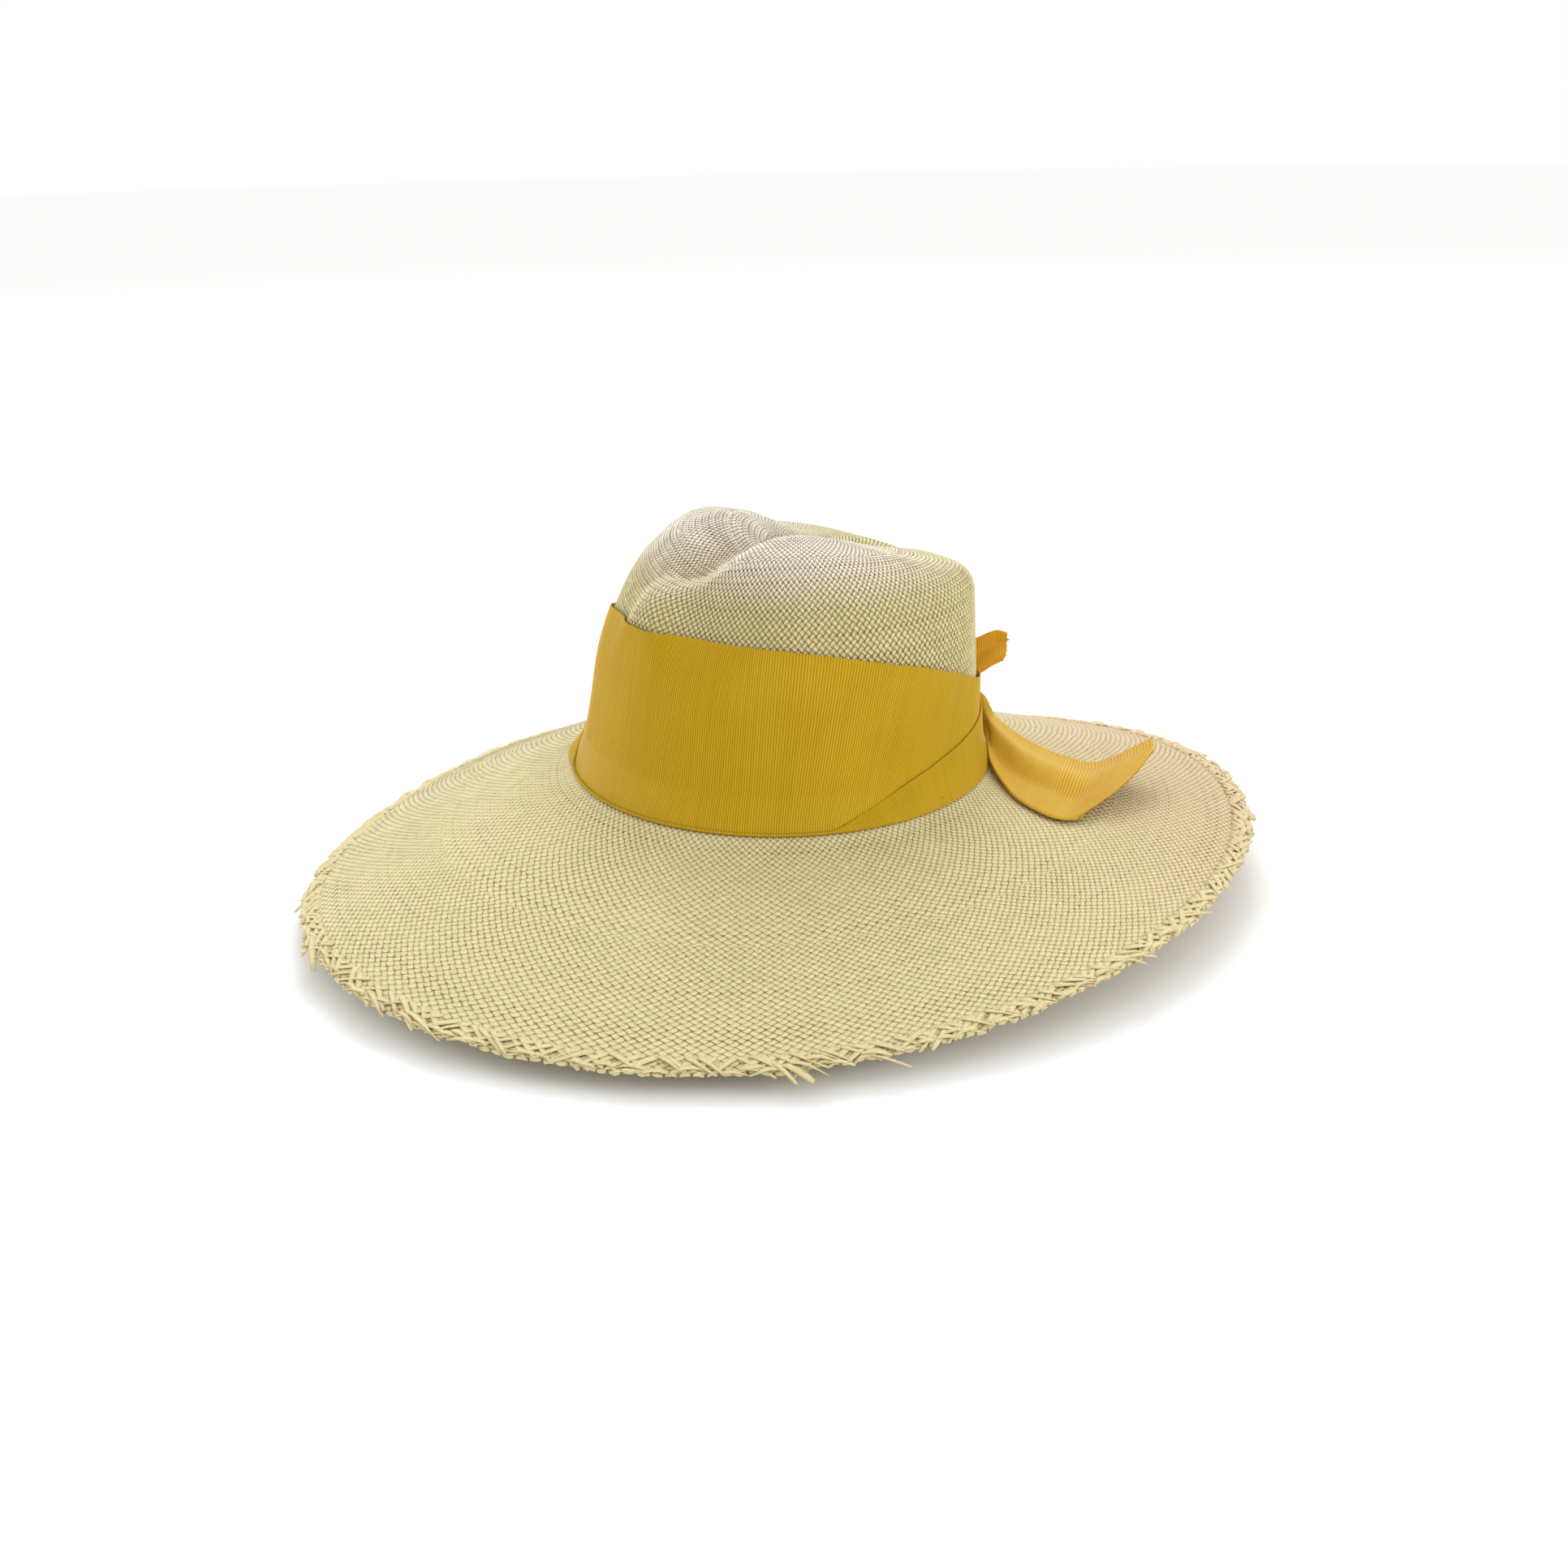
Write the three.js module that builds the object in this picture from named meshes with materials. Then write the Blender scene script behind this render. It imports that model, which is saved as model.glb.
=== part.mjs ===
// Wide-brim straw hat with a deep ribbon, in millimetres, +Z up.
// The front of the hat faces -Y and the wearer's left is +X. The hat rests on its rim on the plane z = 0.
import * as THREE from 'three';

// Crown and brim, measured in the hat's own frame, where z = 0 is the break between crown and brim.
const baseHalfWidth = 88.5;
const baseHalfLength = 104;
const wallTaper = { front: 0.15, back: 0.14, side: 0.07 };
const baseFlare = { reach: 4.6, fade: 8 };
const strawThickness = 1.8;
const brimWidth = 136.4;
const brimTurn = { drop: 3, reach: 6 };
const brimBow = 1.12;

// The brim's droop in degrees and its width as a share of brimWidth, as waves round the hat.
const droopMean = 19.2;
const droopWaves = [
  { turns: 1, cosine: 3.2, sine: -10.3 },
  { turns: 2, cosine: -0.1, sine: 2.6 },
  { turns: 3, cosine: -0.6, sine: -1.4 },
  { turns: 4, cosine: -0.9, sine: 0.3 },
];
const widthWaves = [
  { turns: 1, cosine: 0.026, sine: -0.008 },
  { turns: 2, cosine: 0.039, sine: 0.004 },
];

// The crown's top from front to back: height of the ridge on the wearer's left and on the right, depth and
// half width of the dent between them, and how softly the top turns over into the side wall.
const crownTop = [
  { y: -92, left: 97, right: 97, dent: 0, halfDent: 20, turnOver: 50 },
  { y: -80, left: 104, right: 104, dent: 6, halfDent: 19, turnOver: 58 },
  { y: -65, left: 115.5, right: 114, dent: 14, halfDent: 18, turnOver: 66 },
  { y: -45, left: 124, right: 120.5, dent: 16, halfDent: 17, turnOver: 64 },
  { y: -25, left: 122.5, right: 121, dent: 14, halfDent: 16, turnOver: 56 },
  { y: 0, left: 117, right: 115.5, dent: 12.5, halfDent: 15, turnOver: 46 },
  { y: 30, left: 108.5, right: 103, dent: 10, halfDent: 14, turnOver: 26 },
  { y: 60, left: 102, right: 96.5, dent: 6, halfDent: 14, turnOver: 12 },
  { y: 95, left: 92, right: 90, dent: 2, halfDent: 14, turnOver: 9 },
];
const ridgeSpread = 18;
// At the front of the dent the top meets the wall in a tighter lip.
const lip = { turnOver: 12, halfWidth: 16, from: -50, to: -80 };
// Every point of the crown is sought along a ray from the crown's middle or axis, between these distances.
const crownHeart = new THREE.Vector3(0, 0, 40);
const raySearch = { from: 10, to: 170, halvings: 30 };

// How the resting hat leans: the crown tips to the wearer's left and a little back.
const leanLeft = 4.4;
const leanBack = 1.5;

// Ribbon. Everything that touches keeps this seam.
const seam = 0.3;
const ribbonThickness = 0.9;
const ribbonStandsProud = 1.2;

// The ribbon is 83 mm wide. Towards the knot its lower part is folded up on its outside, so its upper edge
// sinks as the fold rises. Angles in degrees from the front, positive towards the wearer's left.
const ribbonEdges = [
  { at: -180, top: 38, turnUp: 31 },
  { at: -150, top: 42, turnUp: 30 },
  { at: -110, top: 51, turnUp: 28 },
  { at: -80, top: 60, turnUp: 23 },
  { at: -60, top: 67, turnUp: 16 },
  { at: -40, top: 75, turnUp: 8 },
  { at: -24, top: 79, turnUp: 1.4 },
  { at: 0, top: 82.5, turnUp: 1.4 },
  { at: 50, top: 82.5, turnUp: 1.4 },
  { at: 65, top: 80.5, turnUp: 1.4 },
  { at: 75, top: 77.5, turnUp: 7.5 },
  { at: 90, top: 71.5, turnUp: 17 },
  { at: 108, top: 61.5, turnUp: 23.7 },
  { at: 131, top: 47.3, turnUp: 27.6 },
  { at: 155, top: 40.5, turnUp: 30 },
  { at: 180, top: 38, turnUp: 31 },
];
// Rows of facets up the wall as far as the ribbon's edge: fixed heights, then shares of what is above them.
const lowRows = [0, 4, 9, 17];
const highRows = [0.36, 0.7, 1];
// Rows of the turned-up part, as shares of its height from the lower fold, and of the plain part above it.
const lowerFold = 0.9;
const turnUpRows = [0.07, 0.2, 0.5, 1];
const plainRows = [0.05, 0.14, 0.4];

// The knot covers the ribbon's crossing at the back.
const knot = { halfWidth: 19, bottom: 2.5, top: 47, clearance: 4.9, bulge: 7, waist: 0.22, across: 8, up: 8 };

// Free ends of the ribbon, in the hat's frame: the lower and the upper edge at each station from the knot
// outwards, the height of the fold between them, and how far the middle of the station runs ahead.
const longTail = [
  { lowX: 8, lowY: 108, lowZ: 7, highX: 8, highY: 105, highZ: 22, fold: 0, ahead: 0 },
  { lowX: 21, lowY: 106, lowZ: 6.5, highX: 21, highY: 102.5, highZ: 22, fold: 0, ahead: 0 },
  { lowX: 32, lowY: 105.5, lowZ: 5.5, highX: 25, highY: 109, highZ: 22, fold: 0.5, ahead: 0 },
  { lowX: 54, lowY: 96, lowZ: 4.5, highX: 32, highY: 111, highZ: 12, fold: 1.5, ahead: 0 },
  { lowX: 75.5, lowY: 72, lowZ: 4.5, highX: 39, highY: 109, highZ: 9, fold: 4, ahead: 0 },
  { lowX: 104, lowY: 58, lowZ: -1, highX: 60, highY: 110, highZ: 3.5, fold: 4.5, ahead: 0 },
  { lowX: 121, lowY: 61, lowZ: -2.5, highX: 79, highY: 117, highZ: 0, fold: 4, ahead: 0 },
  { lowX: 128, lowY: 65, lowZ: -3, highX: 95, highY: 127, highZ: -1.5, fold: 2.5, ahead: 6 },
  { lowX: 132, lowY: 72, lowZ: -3.5, highX: 109, highY: 151, highZ: 11, fold: 0, ahead: 14 },
];
const shortTail = [
  { lowX: 8, lowY: 103.9, lowZ: 25, highX: 8, highY: 102.6, highZ: 42, fold: 0, ahead: 0 },
  { lowX: 21, lowY: 101.8, lowZ: 26, highX: 20, highY: 101, highZ: 44, fold: 0, ahead: 0 },
  { lowX: 28, lowY: 106, lowZ: 29, highX: 26, highY: 105, highZ: 49, fold: -1.5, ahead: 0 },
  { lowX: 33, lowY: 111, lowZ: 34.5, highX: 33, highY: 111, highZ: 54, fold: -2.5, ahead: 0 },
  { lowX: 37, lowY: 115, lowZ: 38, highX: 37, highY: 116, highZ: 53, fold: -2, ahead: 1 },
];
const tailFolds = [
  { share: 0, rise: 0 },
  { share: 0.25, rise: -0.5 },
  { share: 0.52, rise: 1 },
  { share: 0.78, rise: 0.1 },
  { share: 1, rise: 0 },
];

// Facets.
const angleSteps = 72;
const topRows = 11;
const brimShares = [0.03, 0.08, 0.2, 0.4, 0.6, 0.8, 1];
const frayedRim = { reach: 0.016, pace: 2.4 };

// Finishes.
const strawFinish = { color: 0xd9cc98, roughness: 0.75, metalness: 0 };
const ribbonFinish = { color: 0xd4ab32, roughness: 0.55, metalness: 0 };

const degree = Math.PI / 180;

function lerpTable(table, key, at, column) {
  if (at <= table[0][key]) return table[0][column];
  for (let i = 1; i < table.length; i++) {
    if (at > table[i][key]) continue;
    const t = (at - table[i - 1][key]) / (table[i][key] - table[i - 1][key]);
    const soft = t * t * (3 - 2 * t);
    const mix = (t + soft) / 2;
    return THREE.MathUtils.lerp(table[i - 1][column], table[i][column], mix);
  }
  return table[table.length - 1][column];
}

function waves(list, angle) {
  const one = (w) => w.cosine * Math.cos(w.turns * angle) + w.sine * Math.sin(w.turns * angle);
  return list.reduce((sum, w) => sum + one(w), 0);
}

// Outward direction of the base oval, for an angle measured from the front towards the wearer's left.
function outward(angle) {
  return new THREE.Vector3(Math.sin(angle) / baseHalfWidth, -Math.cos(angle) / baseHalfLength, 0).normalize();
}

function flareAt(height) {
  return baseFlare.reach * Math.exp(-height / baseFlare.fade);
}

function wallOval(height) {
  return {
    halfWidth: baseHalfWidth - wallTaper.side * height,
    halfLength: baseHalfLength - (wallTaper.front + wallTaper.back) / 2 * height,
    shift: (wallTaper.front - wallTaper.back) / 2 * height,
  };
}

function topHeight(x, y) {
  const dent = lerpTable(crownTop, 'y', y, 'dent');
  const halfDent = lerpTable(crownTop, 'y', y, 'halfDent');
  const left = lerpTable(crownTop, 'y', y, 'left');
  const right = lerpTable(crownTop, 'y', y, 'right');
  const ridge = THREE.MathUtils.lerp(right, left, THREE.MathUtils.smoothstep(x, -ridgeSpread, ridgeSpread));
  return ridge - dent * Math.exp(-((x / halfDent) ** 2));
}

function turnOverAt(x, y) {
  const forward = THREE.MathUtils.smoothstep(-y, -lip.from, -lip.to);
  const middle = Math.exp(-((x / lip.halfWidth) ** 2));
  return THREE.MathUtils.lerp(lerpTable(crownTop, 'y', y, 'turnOver'), lip.turnOver, forward * middle);
}

// Below zero inside the crown, above zero outside it.
function crownField(point) {
  const oval = wallOval(point.z);
  const across = point.x / oval.halfWidth;
  const along = (point.y - oval.shift) / oval.halfLength;
  const reach = Math.hypot(across, along);
  const angle = Math.atan2(across, -along);
  const radius = Math.hypot(oval.halfWidth * Math.sin(angle), oval.halfLength * Math.cos(angle));
  const fromWall = (reach - 1) * radius - flareAt(Math.max(point.z, 0));
  const fromTop = point.z - topHeight(point.x, point.y);
  const turnOver = turnOverAt(point.x, point.y);
  const blend = Math.max(0, 1 - Math.abs(fromWall - fromTop) / turnOver);
  return Math.max(fromWall, fromTop) + turnOver / 4 * blend * blend;
}

// The crown's surface as seen from a point inside it.
function crownAlong(from, way) {
  let near = raySearch.from;
  let far = raySearch.to;
  for (let i = 0; i < raySearch.halvings; i++) {
    const middle = (near + far) / 2;
    if (crownField(from.clone().addScaledVector(way, middle)) < 0) near = middle;
    else far = middle;
  }
  return from.clone().addScaledVector(way, near);
}

function crownPoint(angle, lift) {
  const way = new THREE.Vector3(
    Math.sin(angle) * Math.cos(lift) * baseHalfWidth / baseHalfLength,
    -Math.cos(angle) * Math.cos(lift),
    Math.sin(lift),
  );
  return crownAlong(crownHeart, way.normalize());
}

function basePoint(angle) {
  const point = new THREE.Vector3(baseHalfWidth * Math.sin(angle), -baseHalfLength * Math.cos(angle), 0);
  return point.addScaledVector(outward(angle), baseFlare.reach);
}

// A point on the brim, for a share from 0 at the crown to 1 at the rim.
function brimPoint(angle, share) {
  const droop = (droopMean + waves(droopWaves, angle)) * degree;
  const width = brimWidth * (1 + waves(widthWaves, angle));
  const run = width * share;
  const point = basePoint(angle).addScaledVector(outward(angle), run * Math.cos(droop));
  point.z -= width * Math.sin(droop) * share ** brimBow;
  point.z -= brimTurn.drop * (1 - Math.exp(-run / brimTurn.reach)) * (1 - share);
  return point;
}

// A point on the crown's wall at a height.
function wallPoint(angle, height) {
  const way = new THREE.Vector3(Math.sin(angle) * baseHalfWidth, -Math.cos(angle) * baseHalfLength, 0);
  return crownAlong(new THREE.Vector3(0, 0, height), way.normalize());
}

function ribbonEdge(angle, column) {
  const turned = angle > Math.PI ? angle - 2 * Math.PI : angle;
  return lerpTable(ribbonEdges, 'at', turned / degree, column);
}

function wallRows(angle) {
  const base = lowRows[lowRows.length - 1];
  const above = ribbonEdge(angle, 'top') - base;
  return [...lowRows, ...highRows.map((share) => base + above * share)];
}

// A point off the crown's wall, for the ribbon and the knot. The ribbon's upper edge stands off a little.
function overWall(angle, height, distance) {
  const proud = ribbonStandsProud * (height / ribbonEdge(angle, 'top')) ** 2;
  return wallPoint(angle, height).addScaledVector(outward(angle), distance + proud);
}

// Solids from grids of points

function faceGrid(faces, rows, columns, at, loop, flip) {
  for (let i = 0; i < (loop ? rows : rows - 1); i++) {
    for (let j = 0; j < columns - 1; j++) {
      const a = at(i, j);
      const b = at((i + 1) % rows, j);
      const c = at((i + 1) % rows, j + 1);
      const d = at(i, j + 1);
      if (flip) faces.push(a, c, b, a, d, c);
      else faces.push(a, b, c, a, c, d);
    }
  }
}

function gridNormals(grid, loop) {
  const rows = grid.length;
  const columns = grid[0].length;
  return grid.map((row, i) => row.map((point, j) => {
    const before = loop ? grid[(i + rows - 1) % rows] : grid[Math.max(i - 1, 0)];
    const after = loop ? grid[(i + 1) % rows] : grid[Math.min(i + 1, rows - 1)];
    const along = after[j].clone().sub(before[j]);
    const across = row[Math.min(j + 1, columns - 1)].clone().sub(row[Math.max(j - 1, 0)]);
    return along.cross(across).normalize();
  }));
}

function solidFrom(points, faces) {
  const geometry = new THREE.BufferGeometry();
  geometry.setAttribute('position', new THREE.Float32BufferAttribute(points.flatMap((p) => p.toArray()), 3));
  geometry.setIndex(faces);
  geometry.computeVertexNormals();
  return geometry;
}

// An open sheet with an even wall about its middle surface.
function sheetSolid(grid, thickness) {
  const rows = grid.length;
  const columns = grid[0].length;
  const normals = gridNormals(grid, false);
  const points = [];
  for (const side of [0.5, -0.5]) {
    grid.forEach((row, i) => row.forEach((p, j) => {
      points.push(p.clone().addScaledVector(normals[i][j], side * thickness));
    }));
  }
  const front = (i, j) => i * columns + j;
  const back = (i, j) => rows * columns + i * columns + j;
  const faces = [];
  faceGrid(faces, rows, columns, front, false, false);
  faceGrid(faces, rows, columns, back, false, true);
  const edge = [];
  for (let i = 0; i < rows - 1; i++) edge.push([i, 0]);
  for (let j = 0; j < columns - 1; j++) edge.push([rows - 1, j]);
  for (let i = rows - 1; i > 0; i--) edge.push([i, columns - 1]);
  for (let j = columns - 1; j > 0; j--) edge.push([0, j]);
  edge.forEach(([i, j], k) => {
    const [m, n] = edge[(k + 1) % edge.length];
    faces.push(front(i, j), back(i, j), back(m, n), front(i, j), back(m, n), front(m, n));
  });
  return solidFrom(points, faces);
}

// Crown and brim in one shell, from the rim up to the crown's tip

function strawMeridian(angle, step) {
  const row = brimShares.map((share) => {
    const frayed = share === 1 ? frayedRim.reach * Math.sin(step * step * frayedRim.pace) : 0;
    return brimPoint(angle, share + frayed);
  }).reverse();
  for (const height of wallRows(angle)) row.push(wallPoint(angle, height));
  const last = row[row.length - 1].clone().sub(crownHeart);
  const fromLift = Math.asin(last.z / last.length());
  for (let k = 1; k < topRows; k++) {
    row.push(crownPoint(angle, THREE.MathUtils.lerp(fromLift, Math.PI / 2, k / topRows)));
  }
  return row;
}

function strawBody() {
  const grid = [];
  for (let i = 0; i < angleSteps; i++) grid.push(strawMeridian(i / angleSteps * 2 * Math.PI, i));
  const columns = grid[0].length;
  const normals = gridNormals(grid, true);
  const points = [];
  for (const depth of [0, strawThickness]) {
    grid.forEach((row, i) => row.forEach((p, j) => {
      points.push(p.clone().addScaledVector(normals[i][j], -depth));
    }));
  }
  const tip = crownPoint(0, Math.PI / 2);
  points.push(tip, tip.clone().add(new THREE.Vector3(0, 0, -strawThickness)));
  const outer = (i, j) => i * columns + j;
  const inner = (i, j) => angleSteps * columns + i * columns + j;
  const faces = [];
  faceGrid(faces, angleSteps, columns, outer, true, false);
  faceGrid(faces, angleSteps, columns, inner, true, true);
  for (let i = 0; i < angleSteps; i++) {
    const next = (i + 1) % angleSteps;
    faces.push(outer(i, columns - 1), outer(next, columns - 1), points.length - 2);
    faces.push(inner(i, columns - 1), points.length - 1, inner(next, columns - 1));
    faces.push(outer(i, 0), inner(next, 0), outer(next, 0), outer(i, 0), inner(i, 0), inner(next, 0));
  }
  return solidFrom(points, faces);
}

// Ribbon round the crown, with its lower part turned up

// One closed section of the band: up its inside, down its outside, and round the turned-up part.
function bandSection(angle) {
  const inside = seam;
  const outside = inside + ribbonThickness;
  const turnUpInside = outside + seam;
  const turnUpOutside = turnUpInside + ribbonThickness;
  const top = ribbonEdge(angle, 'top');
  const turnUp = ribbonEdge(angle, 'turnUp');
  const turnUpHeights = turnUpRows.map((share) => THREE.MathUtils.lerp(lowerFold, turnUp, share));
  const plainHeights = plainRows.map((share) => THREE.MathUtils.lerp(turnUp, top, share));
  const along = (heights, distance) => heights.map((height) => overWall(angle, height, distance));
  return [
    ...along(wallRows(angle), inside),
    ...along([...turnUpHeights, ...plainHeights, top].reverse(), outside),
    ...along(turnUpHeights, turnUpInside),
    ...along([0, ...turnUpHeights].reverse(), turnUpOutside),
  ];
}

function ribbonBand() {
  const grid = [];
  for (let i = 0; i < angleSteps; i++) grid.push(bandSection(i / angleSteps * 2 * Math.PI));
  const columns = grid[0].length;
  const faces = [];
  faceGrid(faces, angleSteps, columns + 1, (i, j) => i * columns + j % columns, true, true);
  return solidFrom(grid.flat(), faces);
}

// The knot is one wrap of ribbon over the crossing, drawn in at its waist
function ribbonKnot() {
  const grid = [];
  for (let i = 0; i <= knot.across; i++) {
    const side = 2 * i / knot.across - 1;
    const row = [];
    for (let j = 0; j <= knot.up; j++) {
      const share = j / knot.up;
      const height = THREE.MathUtils.lerp(knot.bottom, knot.top, share);
      const drawnIn = 1 - knot.waist * Math.sin(Math.PI * share);
      const angle = Math.PI + side * drawnIn * knot.halfWidth / baseHalfLength;
      const swell = knot.bulge * (1 - side * side) * Math.sin(Math.PI * share);
      row.push(overWall(angle, height, knot.clearance + swell));
    }
    grid.push(row);
  }
  return sheetSolid(grid, ribbonThickness);
}

function ribbonTail(stations) {
  const edges = stations.map((s) => ({
    low: new THREE.Vector3(s.lowX, s.lowY, s.lowZ),
    high: new THREE.Vector3(s.highX, s.highY, s.highZ),
    fold: s.fold,
    ahead: s.ahead,
  }));
  const grid = edges.map(({ low, high, fold, ahead }, i) => {
    const next = edges[Math.min(i + 1, edges.length - 1)];
    const last = edges[Math.max(i - 1, 0)];
    const along = next.low.clone().add(next.high).sub(last.low).sub(last.high);
    along.normalize();
    const rise = along.clone().cross(high.clone().sub(low)).normalize();
    return tailFolds.map((f) => {
      const bow = 4 * f.share * (1 - f.share);
      const point = low.clone().lerp(high, f.share);
      return point.addScaledVector(rise, fold * f.rise).addScaledVector(along, ahead * bow);
    });
  });
  return sheetSolid(grid, ribbonThickness);
}

// Assembly

function piece(name, geometry, finish) {
  const mesh = new THREE.Mesh(geometry, new THREE.MeshStandardMaterial(finish));
  mesh.name = name;
  return mesh;
}

const hat = new THREE.Group();
hat.add(
  piece('straw_body', strawBody(), strawFinish),
  piece('ribbon_band', ribbonBand(), ribbonFinish),
  piece('ribbon_knot', ribbonKnot(), ribbonFinish),
  piece('ribbon_tail_long', ribbonTail(longTail), ribbonFinish),
  piece('ribbon_tail_short', ribbonTail(shortTail), ribbonFinish),
);
hat.rotation.set(-leanBack * degree, leanLeft * degree, 0, 'YXZ');

// The origin is the middle of the hat's footprint, on the surface that it rests on.
hat.updateMatrixWorld(true);
const bounds = new THREE.Box3().setFromObject(hat, true);
const middle = bounds.getCenter(new THREE.Vector3());
hat.position.set(-middle.x, -middle.y, -bounds.min.z);

export default hat;
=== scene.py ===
# Straw hat with a deep ribbon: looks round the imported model, in metres, +Z up, front towards -Y.
import math

import bmesh
import bpy
import numpy as np
from mathutils import Matrix, Vector


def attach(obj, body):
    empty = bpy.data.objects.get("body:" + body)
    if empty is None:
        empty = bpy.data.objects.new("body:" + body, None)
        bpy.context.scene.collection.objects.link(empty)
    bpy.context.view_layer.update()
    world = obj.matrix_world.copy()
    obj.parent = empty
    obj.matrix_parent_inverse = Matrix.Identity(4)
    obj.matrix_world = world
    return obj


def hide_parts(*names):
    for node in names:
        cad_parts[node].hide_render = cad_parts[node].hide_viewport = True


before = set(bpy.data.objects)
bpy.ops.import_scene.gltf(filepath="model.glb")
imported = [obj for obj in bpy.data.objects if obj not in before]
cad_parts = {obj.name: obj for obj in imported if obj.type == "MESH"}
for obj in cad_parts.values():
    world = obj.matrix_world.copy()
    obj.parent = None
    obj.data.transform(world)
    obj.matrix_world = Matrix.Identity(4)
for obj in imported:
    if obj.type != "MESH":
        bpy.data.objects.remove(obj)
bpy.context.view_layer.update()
print("frame loaded:", ", ".join(sorted(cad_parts)))

# The hat's own frame, in mm: z = 0 is the break between crown and brim. Leans are in degrees.
hat = {
    "place": (-2.603, 2.677, 59.019),
    "leanLeft": 4.4,
    "leanBack": 1.5,
    "halfWidth": 88.5,
    "halfLength": 104.0,
    "taperFront": 0.15,
    "taperBack": 0.14,
    "taperSide": 0.07,
    "flare": 4.6,
    "flareFade": 8.0,
    "thickness": 1.5,
}
brim = {
    "width": 136.4,
    "turnDrop": 3.0,
    "turnReach": 6.0,
    "bow": 1.12,
    "droop": 19.2,
    "droopWaves": ((1, 3.2, -10.3), (2, -0.1, 2.6), (3, -0.6, -1.4), (4, -0.9, 0.3)),
    "widthWaves": ((1, 0.026, -0.008), (2, 0.039, 0.004)),
}
crownTop = {
    "y": (-92, -80, -65, -45, -25, 0, 30, 60, 95),
    "left": (97, 104, 115.5, 124, 122.5, 117, 108.5, 102, 92),
    "right": (97, 104, 114, 120.5, 121, 115.5, 103, 96.5, 90),
    "dent": (0, 6, 14, 16, 14, 12.5, 10, 6, 2),
    "halfDent": (20, 19, 18, 17, 16, 15, 14, 14, 14),
    "turnOver": (50, 58, 66, 64, 56, 46, 26, 12, 9),
}
crown = {"ridgeSpread": 18, "lipTurnOver": 12, "lipHalfWidth": 16, "lipFrom": 50, "lipTo": 80, "heart": 40}

leanLeft = Matrix.Rotation(math.radians(hat["leanLeft"]), 3, "Y")
leanBack = Matrix.Rotation(-math.radians(hat["leanBack"]), 3, "X")
turned = np.array(leanLeft @ leanBack)


def toFrame(points):
    return (np.asarray(points) @ turned.T + np.array(hat["place"])) / 1000


# A smooth reading of a table, which never swings past the table's own values
def readTable(table, key, column, at):
    places = np.array(table[key], float)
    values = np.array(table[column], float)
    at = np.clip(np.asarray(at, float), places[0], places[-1])
    steps = np.diff(places)
    slopes = np.diff(values) / steps
    before, after = slopes[:-1], slopes[1:]
    sameWay = before * after > 0
    inner = np.where(sameWay, 2 * before * after / np.where(sameWay, before + after, 1), 0)
    tangents = np.concatenate([[0], inner, [0]])
    k = np.clip(np.searchsorted(places, at) - 1, 0, len(steps) - 1)
    t = (at - places[k]) / steps[k]
    straight = values[k] + (values[k + 1] - values[k]) * t * t * (3 - 2 * t)
    leaving = tangents[k] * (t**3 - 2 * t**2 + t)
    arriving = tangents[k + 1] * (t**3 - t**2)
    return straight + steps[k] * (leaving + arriving)


def easeStep(value, low, high):
    t = np.clip((value - low) / (high - low), 0, 1)
    return t * t * (3 - 2 * t)


def waveSum(waves, angle):
    return sum(c * np.cos(n * angle) + s * np.sin(n * angle) for n, c, s in waves)


def unit(vectors):
    return vectors / np.maximum(np.linalg.norm(vectors, axis=-1, keepdims=True), 1e-9)


def outward(angle):
    sideways, forward = np.sin(angle) / hat["halfWidth"], -np.cos(angle) / hat["halfLength"]
    return unit(np.stack([sideways, forward, np.zeros_like(angle)], -1))


# Below zero inside the crown, above zero outside it
def crownField(p):
    x, y, z = p[..., 0], p[..., 1], p[..., 2]
    halfWidth = hat["halfWidth"] - hat["taperSide"] * z
    halfLength = hat["halfLength"] - (hat["taperFront"] + hat["taperBack"]) / 2 * z
    across = x / halfWidth
    along = (y - (hat["taperFront"] - hat["taperBack"]) / 2 * z) / halfLength
    angle = np.arctan2(across, -along)
    radius = np.hypot(halfWidth * np.sin(angle), halfLength * np.cos(angle))
    flare = hat["flare"] * np.exp(-np.maximum(z, 0) / hat["flareFade"])
    fromWall = (np.hypot(across, along) - 1) * radius - flare
    right = readTable(crownTop, "y", "right", y)
    left = readTable(crownTop, "y", "left", y)
    ridge = right + (left - right) * easeStep(x, -crown["ridgeSpread"], crown["ridgeSpread"])
    halfDent = readTable(crownTop, "y", "halfDent", y)
    fromTop = z - ridge + readTable(crownTop, "y", "dent", y) * np.exp(-((x / halfDent) ** 2))
    forward = easeStep(-y, crown["lipFrom"], crown["lipTo"]) * np.exp(-((x / crown["lipHalfWidth"]) ** 2))
    turnOver = readTable(crownTop, "y", "turnOver", y)
    turnOver = turnOver + (crown["lipTurnOver"] - turnOver) * forward
    blend = np.maximum(0, 1 - np.abs(fromWall - fromTop) / turnOver)
    return np.maximum(fromWall, fromTop) + turnOver / 4 * blend * blend


def crownAlong(start, way):
    near = np.full(way.shape[:-1], 10.0)
    far = np.full(way.shape[:-1], 170.0)
    for _ in range(26):
        middle = (near + far) / 2
        inside = crownField(start + way * middle[..., None]) < 0
        near = np.where(inside, middle, near)
        far = np.where(inside, far, middle)
    return start + way * near[..., None]


def crownPoint(angle, lift):
    angle, lift = np.broadcast_arrays(angle, lift)
    narrow = hat["halfWidth"] / hat["halfLength"]
    way = np.stack([np.sin(angle) * np.cos(lift) * narrow, -np.cos(angle) * np.cos(lift), np.sin(lift)], -1)
    return crownAlong(np.array([0, 0, crown["heart"]]), unit(way))


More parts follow.
